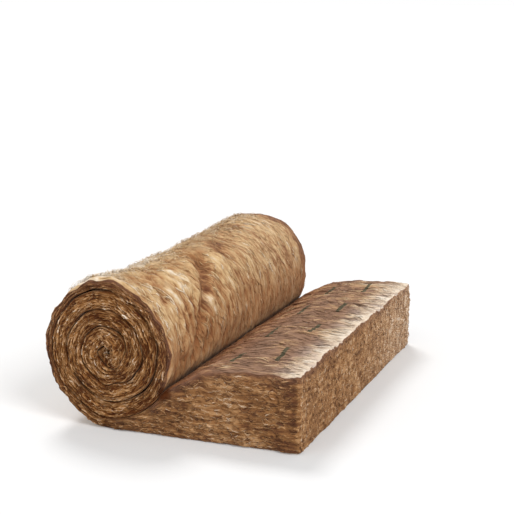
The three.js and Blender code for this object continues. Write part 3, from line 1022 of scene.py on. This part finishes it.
def add(tree, kind, *values, named=None, **settings):
    """Adds a node. Its settings are set, and its inputs get values or links.

    The values go to its inputs in the order in which it shows them, and the named ones by name. A
    link comes from a socket, or from the first output that a node shows.
    """
    node = tree.nodes.new("ShaderNode" + kind)
    for key, value in settings.items():
        setattr(node, key, value)
    shown = [socket for socket in node.inputs if socket.enabled]
    by_name = [(node.inputs[key], value) for key, value in (named or {}).items()]
    for socket, value in [*zip(shown, values), *by_name]:
        if isinstance(value, bpy.types.Node):
            value = next(output for output in value.outputs if output.enabled)
        if isinstance(value, bpy.types.NodeSocket):
            tree.links.new(value, socket)
        else:
            socket.default_value = value
    return node


def new_material(name):
    """A material without nodes, and its node tree."""
    material = bpy.data.materials.new(name)
    material.use_nodes = True
    material.node_tree.nodes.clear()
    return material, material.node_tree


def summed(tree, fields, level, terms):
    """A level plus every term: its weight times the product of the fields that it names."""
    total = level
    for weight, first, *others in terms:
        product = fields[first]
        for name in others:
            product = add(tree, "Math", product, fields[name], operation="MULTIPLY")
        total = add(tree, "Math", product, weight, total, operation="MULTIPLY_ADD")
    return total


def wool_steps(blanket):
    """Where the wool changes: the field it goes by, and where it starts and is full, in metres."""
    foot = blanket.tail
    nip = blanket.along(blanket.sizes.nip_turn)
    half = blanket.half_width
    return {
        # The unrolled part, and the rest
        "on_tail": ("along", foot + 0.02, foot - 0.02),
        "in_roll": ("along", foot - 0.02, foot + 0.02),
        # Near the cut end, on its face, and off it
        "by_cut": ("along", 0.115, 0.0),
        "on_end": ("along", 0.04, 0.01),
        "off_end": ("along", 0.002, 0.02),
        # The top of the tail, towards the nip and away from it
        # Towards the nip, the tail's top takes painted shade of the roll
        "to_nip": ("along", foot - 0.40, foot - 0.18),
        "before_nip": ("along", foot - 0.18, foot - 0.40),
        # The roll, down from its crest and just above the nip
        "low_on_roll": ("along", nip - 0.415, nip - 0.175),
        "above_nip": ("along", nip - 0.255, nip - 0.075),
        # Across the felt, slowly, faster, and at the far edge only, which is painted shade
        "to_far": ("across", -0.20, half + 0.05),
        "far_half": ("across", -0.20, 0.30),
        "far_rim_shade": ("frayed", half - 0.08, half - 0.01),
    }


def wool_fields(tree, blanket, shaded):
    """What the colour of the wool is worked out from, by name.

    Most fields run from 0 to 1. The ridge, the shade and the patterns lie on both sides of 0, and
    only loose fibres have a shade. Along and across are in metres.
    """
    felt = add(tree, "Attribute", attribute_name="felt").outputs["Vector"]
    split = add(tree, "SeparateXYZ", felt)
    fields = {"along": split.outputs["X"], "across": split.outputs["Z"], "shade": 0.0}
    for name in ("cut", "upper", "rubbed", "hidden", "pale"):
        fields[name] = add(tree, "Attribute", attribute_name=name).outputs["Fac"]
    fields["uncut"] = add(tree, "Math", 1.0, fields["cut"], operation="SUBTRACT")

    centred = {}
    for name in ["ridge", "shade"] if shaded else ["ridge"]:
        centred[name] = add(tree, "Attribute", attribute_name=name).outputs["Fac"]
    for name, (cell, detail, roughness) in WOOL_PATTERNS.items():
        scale = tuple(1 / (size * MM) for size in cell)
        place = add(tree, "VectorMath", felt, scale, operation="MULTIPLY")
        sockets = {"Vector": place, "Scale": 1.0, "Detail": detail, "Roughness": roughness}
        centred[name] = add(tree, "TexNoise", named=sockets)
    for name, field in centred.items():
        fields[name] = add(tree, "Math", field, 0.5, operation="SUBTRACT")

    # Tufts fray the line of the far rim
    fields["frayed"] = summed(tree, fields, fields["across"], [(0.18, "mottled")])
    for name, (source, start, full) in wool_steps(blanket).items():
        step = add(tree, "MapRange", fields[source], start, full, interpolation_type="SMOOTHSTEP")
        fields[name] = step
    on_tail = fields["on_tail"]
    fields["roll_shade_on_tail"] = add(tree, "Math", fields["to_nip"], on_tail, operation="MULTIPLY")
    open_top = add(tree, "Math", fields["before_nip"], on_tail, operation="MULTIPLY")
    far_share = add(tree, "Math", fields["to_far"], 0.5, operation="MULTIPLY")
    fields["greyer"] = add(tree, "Math", open_top, far_share, operation="MAXIMUM")
    fields["ropy"] = add(tree, "Math", fields["low_on_roll"], fields["far_half"], operation="MAXIMUM")
    # Ink lies on the upper side only, and soaks a little way in
    fields["on_top"] = add(tree, "Math", fields["upper"], 0.7, operation="GREATER_THAN")
    fields["inked"] = ink_mask(tree, fields, blanket)
    return fields


def ink_mask(tree, fields, blanket):
    """1 in the dashes of the cutting marks and 0 elsewhere, with edges that wander a little.

    A place is in a dash if it is within half a width of a row's line, and if the part that is left
    over of its distance from the row's first dash, in whole pitches, is less than a dash's length.
    """
    along = summed(tree, fields, fields["along"], [(INK_SWAY, "ragged")])
    across = summed(tree, fields, fields["across"], [(INK_SWAY, "ragged")])
    inked = 0.0
    for row, first in MARK_ROWS:
        in_row = add(tree, "Math", along, row, MARK_WIDTH / 2, operation="COMPARE")
        from_first = add(tree, "Math", across, first - blanket.half_width, operation="SUBTRACT")
        pitches = add(tree, "Math", from_first, MARK_PITCH, operation="DIVIDE")
        left_over = add(tree, "Math", pitches, operation="FRACT")
        in_dash = add(tree, "Math", left_over, MARK_LENGTH / MARK_PITCH, operation="LESS_THAN")
        inked = add(tree, "Math", in_row, in_dash, inked, operation="MULTIPLY_ADD")
    return inked


def washed(tree, fields, colours, base, washes):
    """The base colour with each wash laid over it in turn, by as much as its terms come to."""
    for name, *terms in washes:
        cover = summed(tree, fields, 0.0, terms)
        base = add(tree, "Mix", cover, base, getattr(colours, name), data_type="RGBA")
    return base


def wool_colour(tree, fields, colours):
    """The wool's colour: its skin's or its cut faces', dark where it is hidden, and the marks on it.

    The skin is combed, so its pattern is long along the felt and narrow across it. The cut faces
    show layers, long along the felt and thin through it. Both are dark in their hollows and pale on
    their crests, by their own sum of fields, which holds their own tone and also painted shade and
    painted highlight.
    """
    faces = []
    skin = SKIN_LEVEL, SKIN_TERMS, SKIN_COLOURS, SKIN_WASHES
    cut = CUT_LEVEL, CUT_TERMS, CUT_COLOURS, CUT_WASHES
    for level, terms, stops, washes in (skin, cut):
        ramp = add(tree, "ValToRGB", summed(tree, fields, level, terms))
        elements = ramp.color_ramp.elements
        for place, _ in stops[1:-1]:
            elements.new(place)
        for element, (place, name) in zip(elements, stops):
            element.position, element.color = place, getattr(colours, name)
        faces.append(washed(tree, fields, colours, ramp, washes))
    both = add(tree, "Mix", fields["cut"], *faces, data_type="RGBA")
    # The last washes paint shade into the nip and the parting lines, and lay the ink
    return washed(tree, fields, colours, both, LAST_WASHES)


def wool_shader(tree, base, roughness, bump=None):
    """Matt fibres, whose fuzz catches the light where it is seen at a slant."""
    sockets = {
        "Base Color": base,
        "Roughness": roughness,
        "Specular IOR Level": 0.12,
        "Sheen Weight": FUZZ_SHEEN,
        "Sheen Roughness": 0.45,
        "Sheen Tint": linear("ffe9cc"),
    }
    if bump is not None:
        sockets["Normal"] = bump
    add(tree, "OutputMaterial", add(tree, "BsdfPrincipled", named=sockets))


def felt_material(blanket):
    """Glass-wool felt: brown fibres set in binder. It is matt, and fuzz catches light at its edge."""
    material, tree = new_material("glass_wool_felt")
    fields = wool_fields(tree, blanket, shaded=False)
    height = summed(tree, fields, 0.0, FUZZ_TERMS)
    bump = add(tree, "Bump", named={"Height": height, "Strength": 1.0, "Distance": FUZZ_DEPTH})
    wool_shader(tree, wool_colour(tree, fields, blanket.colours), 0.95, bump)
    return material


def fibre_material(blanket):
    """Loose locks of glass fibre. They take the felt's colour, some of them paler and some darker."""
    material, tree = new_material("glass_wool_fibre")
    fields = wool_fields(tree, blanket, shaded=True)
    wool_shader(tree, wool_colour(tree, fields, blanket.colours), 0.85)
    return material


def material_for(name, make, blanket):
    """The named material, made the first time it is asked for."""
    return bpy.data.materials.get(name) or make(blanket)


# ---- Loose fibres ----

STATIONS = 5  # points along a fibre, its two tips included
SUNK = 0.0012  # how far below the face its tips lie
OVER_FLOOR = 0.0006  # how far over the floor its line stays

# How a kind of fibre lies: how much it bends, as a share of its length, its height as a share of its
# half width, how far it turns about its line in radians, and the range of its shade, where 0 is
# darker than the felt and 1 is paler.
Kind = namedtuple("Kind", "bends flat tilt shades")
ROLL_LOCKS = Kind(0.16, 0.5, 0.2, (0.15, 0.85))
ROLL_WISPS = Kind(0.12, 0.25, 0.10, (0.7, 1.5))
CREST_FUZZ = Kind(0.20, 0.5, 0.2, (0.6, 1.3))
TAIL_LOCKS = Kind(0.10, 0.5, 0.2, (0, 1))
TAIL_WISPS = Kind(0.12, 0.3, 0.15, (0.8, 1.6))
TORN = Kind(0.22, 0.4, 0.5, (0, 1))


def on_face(blanket, face, a, b):
    """s, v and y of places on a face, from a along it and b across it in metres.

    On a side, b may pass a face that lies on another turn, but not one that shows.
    """
    half = blanket.half_width
    if face == "cut":
        thick = blanket.sizes.free_thickness
        return np.zeros_like(a), np.clip(b / thick, 0, 1), np.clip(a, -half, half)
    a = np.clip(a, 0, blanket.end)
    if face in ("skin", "top"):
        return a, np.full_like(a, 0.0 if face == "skin" else 1.0), np.clip(b, -half, half)
    n = blanket.turns(a)
    low = np.where(n > blanket.sizes.nip_turn, -0.2, 0)
    high = np.where(n > 0.05, 1.2, 1)
    v = np.clip(b / blanket.through(a)[0], low, high)
    return a, v, np.full_like(a, half if face == "far" else -half)


def uneven(rng, size, mean, spread, count):
    """Sizes whose logarithm spreads by a bell curve, so that a few are much larger than most."""
    return size * np.exp(rng.normal(mean, spread, count))


def lay_fibres(rng, blanket, face, kind, a, b, heading, reach, width, lift):
    """Points, faces and attributes of fibres of a kind that lie on a face.

    A fibre's middle line runs by its heading and is bent to a parabola. It stands over the face by
    half a sine wave and starts and ends a little below it. Round the line is a three-sided section
    whose width swells from nothing at one tip to nothing at the other, by the root of the sine.
    """
    count = len(a)
    t = np.linspace(0, 1, STATIONS)[None, :]
    run = reach[:, None] * (t - 0.5)
    bend = rng.normal(0, kind.bends, count)[:, None] * reach[:, None]
    sway = bend * ((t - 0.5) ** 2 * 4 - 0.33)
    cos, sin = np.cos(heading)[:, None], np.sin(heading)[:, None]
    along = a[:, None] + run * cos - sway * sin
    s, v, y = on_face(blanket, face, along, b[:, None] + run * sin + sway * cos)
    points = blanket.place(s, v, y)
    outward = blanket.outward(face, s)
    tip = rng.uniform(0, 1, count)[:, None] ** 3 * (t**2)
    height = -SUNK + lift[:, None] * (np.sin(np.pi * t) + tip)
    middle = points + outward * height[..., None]
    middle[..., 2] = np.maximum(middle[..., 2], OVER_FLOOR)

    def unit(vector):
        """A vector over its own length."""
        return vector / np.maximum(np.linalg.norm(vector, axis=-1, keepdims=True), 1e-9)

    tangent = unit(np.gradient(middle, axis=1))
    level = unit(np.cross(tangent, outward))
    turn = (kind.tilt * rng.normal(0, 1, count))[:, None, None]
    across = np.cos(turn) * level + np.sin(turn) * np.cross(level, tangent)
    up = np.cross(across, tangent)
    half = (0.5 * width[:, None] * np.sqrt(np.sin(np.pi * t)))[..., None]
    ridge = middle + up * half * kind.flat
    ring = np.stack([middle - across * half, middle + across * half, ridge], axis=2)
    ring[..., 2] = np.maximum(ring[..., 2], 0)
    inner = ring[:, 1:-1].reshape(count, -1, 3)
    tips = middle[:, [0, -1]]
    all_points = np.concatenate([tips, inner], axis=1)

    # Each tip is the point of a fan of three triangles, and squares join the rings between
    per_fibre = all_points.shape[1]
    rings = 2 + 3 * np.arange(STATIONS - 2)[:, None] + np.arange(3)[None, :]
    turned = np.roll(rings, -1, axis=1)
    start = np.stack([np.zeros(3, int), turned[0], rings[0]], axis=1)
    finish = np.stack([np.ones(3, int), rings[-1], turned[-1]], axis=1)
    sides = np.stack([rings[:-1], turned[:-1], turned[1:], rings[1:]], axis=-1).reshape(-1, 4)
    base = (np.arange(count) * per_fibre)[:, None, None]
    tip_faces = (np.concatenate([start, finish])[None] + base).reshape(-1, 3)
    side_faces = (sides[None] + base).reshape(-1, 4)

    shade = rng.uniform(*kind.shades, count)
    station = np.concatenate([[0, STATIONS - 1], np.repeat(np.arange(1, STATIONS - 1), 3)])
    values = felt_attributes(blanket, s[:, station], v[:, station], y[:, station])
    total = count * per_fibre
    attributes = {key: value.reshape(total, *value.shape[2:]) for key, value in values.items()}
    attributes["cut"] = np.full(total, 0.0 if face in ("skin", "top") else 1.0)
    attributes["shade"] = np.repeat(shade, per_fibre)
    return all_points.reshape(-1, 3), [tip_faces, side_faces], attributes


def fibre_places(first, count, total):
    """Places in the flat map of the corners of some fibres, each of which has a cell of its own.

    A cell holds the fibre's length from left to right and its three sides one above another. The
    order of the corners is that of the faces of laid fibres: the tips first, and then the sides.
    """
    side = np.arange(3)
    middle, low, high = side + 0.5, side, side + 1
    near, away = np.zeros(3), np.full(3, STATIONS - 1)
    start = np.stack([near, middle, near + 1, high, near + 1, low], axis=-1)
    finish = np.stack([away, middle, away - 1, low, away - 1, high], axis=-1)
    station, side = np.meshgrid(np.arange(1, STATIONS - 2), side, indexing="ij")
    corners = [station, side, station, side + 1, station + 1, side + 1, station + 1, side]
    wide = int(np.ceil(np.sqrt(total / 2)))
    row, column = np.divmod(first + np.arange(count), wide)
    corner_of = np.stack([column, row], axis=-1)[:, None, :]
    size = 1 / np.array([wide, np.ceil(total / wide)])
    places = []
    for shape in (np.concatenate([start, finish]), np.stack(corners, axis=-1)):
        within = shape.reshape(1, -1, 2) / (STATIONS - 1, 3)
        places.append(((corner_of + 0.06 + 0.88 * within) * size).reshape(-1, 2))
    return np.concatenate(places)


def joined(parts):
    """Several sets of points, faces and attributes as one."""
    points = np.concatenate([p for p, _, _ in parts])
    shifts = np.concatenate([[0], np.cumsum([len(p) for p, _, _ in parts])[:-1]])
    faces = [f + shift for (_, own, _), shift in zip(parts, shifts) for f in own]
    attributes = {key: np.concatenate([a[key] for _, _, a in parts]) for key in parts[0][2]}
    return points, faces, attributes


def fibre_piece(name, blanket, parts):
    """A piece of loose fibres, which are its felt's own and so ride with it."""
    points, faces, attributes = joined(parts)
    counts = [len(own[0]) // 6 for _, own, _ in parts]
    firsts = np.cumsum([0, *counts[:-1]])
    places = [fibre_places(first, count, sum(counts)) for first, count in zip(firsts, counts)]
    material = material_for("glass_wool_fibre", fibre_material, blanket)
    return new_piece(name, points, faces, attributes, np.concatenate(places), material)


# ---- Operators ----


class INSULATION_OT_blanket(bpy.types.Operator):
    """Make the blanket: one closed surface of felt, from the cut end round to the eye"""

    bl_idname = "insulation.blanket"
    bl_label = "Felt blanket"

    def execute(self, context):
        blanket = Blanket(context.scene)
        s, v, y, faces, places = blanket_mesh(blanket)
        points = blanket.place(s, v, y)
        material = material_for("glass_wool_felt", felt_material, blanket)
        attributes = felt_attributes(blanket, s, v, y)
        piece = new_piece("wool_felt", points, faces, attributes, places, material)
        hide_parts("wool_blanket")
        return {"FINISHED"}


class INSULATION_OT_roll_fibres(bpy.types.Operator):
    """Lay combed fibres round the outside of the roll"""

    bl_idname = "insulation.roll_fibres"
    bl_label = "Fibres round the roll"

    def execute(self, context):
        blanket = Blanket(context.scene)
        rng = np.random.default_rng(101)
        count = context.scene.insulation_fibres.on_roll
        nip = blanket.along(blanket.sizes.nip_turn)
        s = rng.uniform(blanket.tail + 0.03, nip, count)
        y = (2 * rng.uniform(0, 1, count) ** 0.75 - 1) * (blanket.half_width - 0.003)
        loose = smooth((0.20 - y) / 0.45)
        heading = rng.normal(0, 0.30 + 0.22 * loose, count) + 0.40 * noise(102, s / 0.15, y / 0.1)
        reach = rng.uniform(0.012, 0.048, count)
        width = uneven(rng, 0.0009, 0.45, 0.50, count)
        lift = rng.uniform(0.0008, 0.0035, count)
        locks = lay_fibres(rng, blanket, "skin", ROLL_LOCKS, s, y, heading, reach, width, lift)

        # Pale flat wisps, thickest towards the near end. Of five times as many places, those are
        # kept that lie highest in a noise, so the wisps stand in tufts.
        count //= LOCKS_A_ROLL_WISP
        y = blanket.half_width * (1.94 * rng.uniform(0, 1, 5 * count) ** 1.9 - 0.97)
        s = rng.uniform(blanket.tail + 0.45, nip - 0.10, 5 * count)
        tufted = noise(103, s / 0.11, y / 0.045) + rng.normal(0, 0.22, 5 * count)
        kept = tufted.argsort()[-count:]
        s, y = s[kept], y[kept]
        heading = rng.normal(0.10, 0.30, count)
        reach = rng.uniform(0.02, 0.06, count)
        width = rng.uniform(0.002, 0.009, count)
        lift = rng.uniform(0.001, 0.003, count)
        wisps = lay_fibres(rng, blanket, "skin", ROLL_WISPS, s, y, heading, reach, width, lift)

        # Fuzz that stands up along the crest
        count *= FUZZ_A_WISP
        y = blanket.half_width * (1.9 * rng.uniform(0, 1, count) ** 1.4 - 0.95)
        s = rng.normal(blanket.along(0.460), 0.055, count)
        heading = rng.normal(0, 0.7, count)
        reach = rng.uniform(0.015, 0.045, count)
        width = rng.uniform(0.0008, 0.0035, count)
        lift = rng.uniform(0.003, 0.012, count)
        fuzz = lay_fibres(rng, blanket, "skin", CREST_FUZZ, s, y, heading, reach, width, lift)
        fibre_piece("roll_fibres", blanket, [locks, wisps, fuzz])
        return {"FINISHED"}


class INSULATION_OT_tail_fibres(bpy.types.Operator):
    """Lay combed fibres along the top of the unrolled part"""

    bl_idname = "insulation.tail_fibres"
    bl_label = "Fibres on the tail"

    def execute(self, context):
        blanket = Blanket(context.scene)
        rng = np.random.default_rng(201)
        count = context.scene.insulation_fibres.on_tail
        s = rng.uniform(0.004, blanket.tail - 0.185, count)
        y = rng.uniform(-1, 1, count) * (blanket.half_width - 0.003)
        heading = rng.normal(0, 0.18, count) + 0.3 * noise(202, s / 0.15, y / 0.1)
        # No fibre reaches far past the cut end
        reach = np.minimum(rng.uniform(0.02, 0.075, count), 2 * s + 0.006)
        width = uneven(rng, 0.0011, 0.85, 0.65, count)
        lift = rng.uniform(0.0006, 0.0025, count)
        locks = lay_fibres(rng, blanket, "top", TAIL_LOCKS, s, y, heading, reach, width, lift)

        # Pale wisps, thickest along the cut end
        count //= LOCKS_A_TAIL_WISP
        y = rng.uniform(-1, 1, count) * (blanket.half_width - 0.02)
        s = 0.03 + 0.30 * rng.uniform(0, 1, count) ** 2
        heading = rng.normal(0, 0.25, count)
        reach = np.minimum(rng.uniform(0.03, 0.09, count), 2 * s - 0.01)
        width = rng.uniform(0.003, 0.010, count)
        lift = rng.uniform(0.001, 0.003, count)
        wisps = lay_fibres(rng, blanket, "top", TAIL_WISPS, s, y, heading, reach, width, lift)
        fibre_piece("tail_fibres", blanket, [locks, wisps])
        return {"FINISHED"}


class INSULATION_OT_side_fibres(bpy.types.Operator):
    """Lay short torn fibres on both sides of the blanket, along its layers"""

    bl_idname = "insulation.side_fibres"
    bl_label = "Fibres on the sides"

    def execute(self, context):
        blanket = Blanket(context.scene)
        rng = np.random.default_rng(301)
        count = context.scene.insulation_fibres.on_side
        # Places along s are drawn by the thickness there, so that they are even over the side
        line = np.linspace(0, blanket.end, 3000)
        side_so_far = np.cumsum(blanket.through(line)[0])
        in_eye = count // 40
        parts = []
        for face in ("near", "far"):
            s = np.interp(rng.uniform(0, 1, count) * side_so_far[-1], side_so_far, line)
            # A few more lie in the last turn round the eye
            s[:in_eye] = rng.uniform(blanket.end - 0.16, blanket.end, in_eye)
            depth = rng.uniform(0.02, 0.98, count) * blanket.through(s)[0]
            near_eye = bell(blanket.outer_radius(blanket.turns(s)) / 0.06)
            heading = rng.normal(0, 1, count) * (0.24 + 0.8 * near_eye)
            reach = rng.uniform(0.010, 0.045, count) * (1 - 0.5 * near_eye)
            width = uneven(rng, 0.0009, 0.65, 0.50, count)
            lift = rng.uniform(0.0006, 0.0030, count)
            parts.append(lay_fibres(rng, blanket, face, TORN, s, depth, heading, reach, width, lift))
        fibre_piece("side_fibres", blanket, parts)
        return {"FINISHED"}


class INSULATION_OT_cut_fibres(bpy.types.Operator):
    """Lay short torn fibres on the cut end"""

    bl_idname = "insulation.cut_fibres"
    bl_label = "Fibres on the cut end"

    def execute(self, context):
        blanket = Blanket(context.scene)
        rng = np.random.default_rng(401)
        count = context.scene.insulation_fibres.on_cut
        y = rng.uniform(-1, 1, count) * (blanket.half_width - 0.006)
        height = rng.uniform(0.02, 0.98, count) * blanket.sizes.free_thickness
        heading = rng.normal(np.pi / 2, 0.8, count)
        reach = rng.uniform(0.006, 0.022, count)
        width = uneven(rng, 0.0009, 0.65, 0.50, count)
        lift = rng.uniform(0.0006, 0.0025, count)
        laid = lay_fibres(rng, blanket, "cut", TORN, y, height, heading, reach, width, lift)
        fibre_piece("cut_fibres", blanket, [laid])
        return {"FINISHED"}


# ---- Stage ----

CAMERA_AZIMUTH = 21.27
CAMERA_ELEVATION = 12.35
CAMERA_DISTANCE = 4.18
CAMERA_AIM = (0.0249, 0.0512, 0.4054)
CAMERA_LENS = 88.8

FLOOR_REACH = 60.0
# How much of the floor that the eye sees is a plain white glow
FLOOR_GLOW = 0.12
SKY_STRENGTH = 0.52
WHITE = (1, 1, 1, 1)
# The suns: a name, where each shines from, its strength and its spread in degrees
SUNS = (
    ("key", (-0.55, 0.75, 1.25), 1.55, 20.0),
    ("fill", (1.0, -0.6, 0.9), 1.75, 28.0),
    ("front", (-0.4, -1.0, 0.5), 0.65, 60.0),
)


class INSULATION_OT_stage(bpy.types.Operator):
    """Make the pale floor, the soft light and the camera"""

    bl_idname = "insulation.stage"
    bl_label = "Stage"

    def execute(self, context):
        self.make_floor(context)
        self.make_lights(context)
        self.make_camera(context)
        context.scene.view_settings.view_transform = "Standard"
        return {"FINISHED"}

    def make_floor(self, context):
        """A wide square that shows white to the eye, and dims only where the roll shades it."""
        material, tree = new_material("studio_floor")
        paths = add(tree, "LightPath")
        seen = 0.0
        for ray in ("Is Camera Ray", "Is Glossy Ray", "Is Transmission Ray"):
            seen = add(tree, "Math", paths.outputs[ray], seen, operation="MAXIMUM")
        glow = add(tree, "Math", seen, FLOOR_GLOW, operation="MULTIPLY")
        diffuse = add(tree, "BsdfDiffuse", context.scene.insulation_colours.floor)
        white = add(tree, "Emission", WHITE, 1.0)
        add(tree, "OutputMaterial", add(tree, "MixShader", glow, diffuse, white))
        mesh = bpy.data.meshes.new("floor")
        corners = np.array([(-1, -1, 0), (1, -1, 0), (1, 1, 0), (-1, 1, 0)]) * FLOOR_REACH
        mesh.from_pydata(corners.tolist(), [], [(0, 1, 2, 3)])
        mesh.materials.append(material)
        floor = bpy.data.objects.new("floor", mesh)
        context.collection.objects.link(floor)

    def make_lights(self, context):
        """Soft suns from behind on the left, from the right and from the front, and a pale sky."""
        world = bpy.data.worlds.new("studio")
        world.use_nodes = True
        tree = world.node_tree
        tree.nodes.clear()
        # The sky is full white to the eye, and lights the wool with less
        seen = add(tree, "LightPath").outputs["Is Camera Ray"]
        strength = add(tree, "Math", seen, 1 - SKY_STRENGTH, SKY_STRENGTH, operation="MULTIPLY_ADD")
        add(tree, "OutputWorld", add(tree, "Background", WHITE, strength))
        context.scene.world = world
        for name, source, strength, spread in SUNS:
            light = bpy.data.lights.new(name, "SUN")
            light.energy, light.angle = strength, np.radians(spread)
            lamp = bpy.data.objects.new(name, light)
            lamp.rotation_mode = "QUATERNION"
            lamp.rotation_quaternion = Vector(source).to_track_quat("Z", "Y")
            context.collection.objects.link(lamp)

    def make_camera(self, context):
        """A camera that looks at the aim point from an azimuth and an elevation."""
        azimuth, elevation = np.radians(CAMERA_AZIMUTH), np.radians(CAMERA_ELEVATION)
        level = np.cos(elevation)
        back = Vector((np.sin(azimuth) * level, -np.cos(azimuth) * level, np.sin(elevation)))
        lens = bpy.data.cameras.new("camera")
        lens.lens, lens.sensor_width = CAMERA_LENS, 36.0
        lens.clip_end = 200.0
        camera = bpy.data.objects.new("camera", lens)
        camera.location = Vector(CAMERA_AIM) + back * CAMERA_DISTANCE
        camera.rotation_mode = "QUATERNION"
        camera.rotation_quaternion = back.to_track_quat("Z", "Y")
        context.collection.objects.link(camera)
        context.scene.camera = camera


STEPS = (
    INSULATION_OT_stage,
    INSULATION_OT_blanket,
    INSULATION_OT_roll_fibres,
    INSULATION_OT_tail_fibres,
    INSULATION_OT_side_fibres,
    INSULATION_OT_cut_fibres,
)


class INSULATION_PT_panel(bpy.types.Panel):
    """Lists the settings and the steps"""

    bl_label = "Insulation roll"
    bl_idname = "INSULATION_PT_panel"
    bl_space_type = "VIEW_3D"
    bl_region_type = "UI"
    bl_category = "Insulation"

    def draw(self, context):
        for name in SETTINGS:
            group = getattr(context.scene, name)
            box = self.layout.box()
            for key in group.bl_rna.properties.keys():
                if key not in ("rna_type", "name"):
                    box.prop(group, key)
        for step in STEPS:
            self.layout.operator(step.bl_idname)


SETTINGS = {
    "insulation_sizes": InsulationSizes,
    "insulation_form": InsulationForm,
    "insulation_relief": InsulationRelief,
    "insulation_fibres": InsulationFibres,
    "insulation_colours": InsulationColours,
}


def register():
    for group in SETTINGS.values():
        bpy.utils.register_class(group)
    for name, group in SETTINGS.items():
        setattr(bpy.types.Scene, name, bpy.props.PointerProperty(type=group))
    for step in (*STEPS, INSULATION_PT_panel):
        bpy.utils.register_class(step)


def unregister():
    for step in (INSULATION_PT_panel, *reversed(STEPS)):
        bpy.utils.unregister_class(step)
    for name, group in SETTINGS.items():
        delattr(bpy.types.Scene, name)
        bpy.utils.unregister_class(group)


def main():
    register()
    for step in STEPS:
        area, name = step.bl_idname.split(".")
        getattr(getattr(bpy.ops, area), name)()


if __name__ == "__main__":
    main()
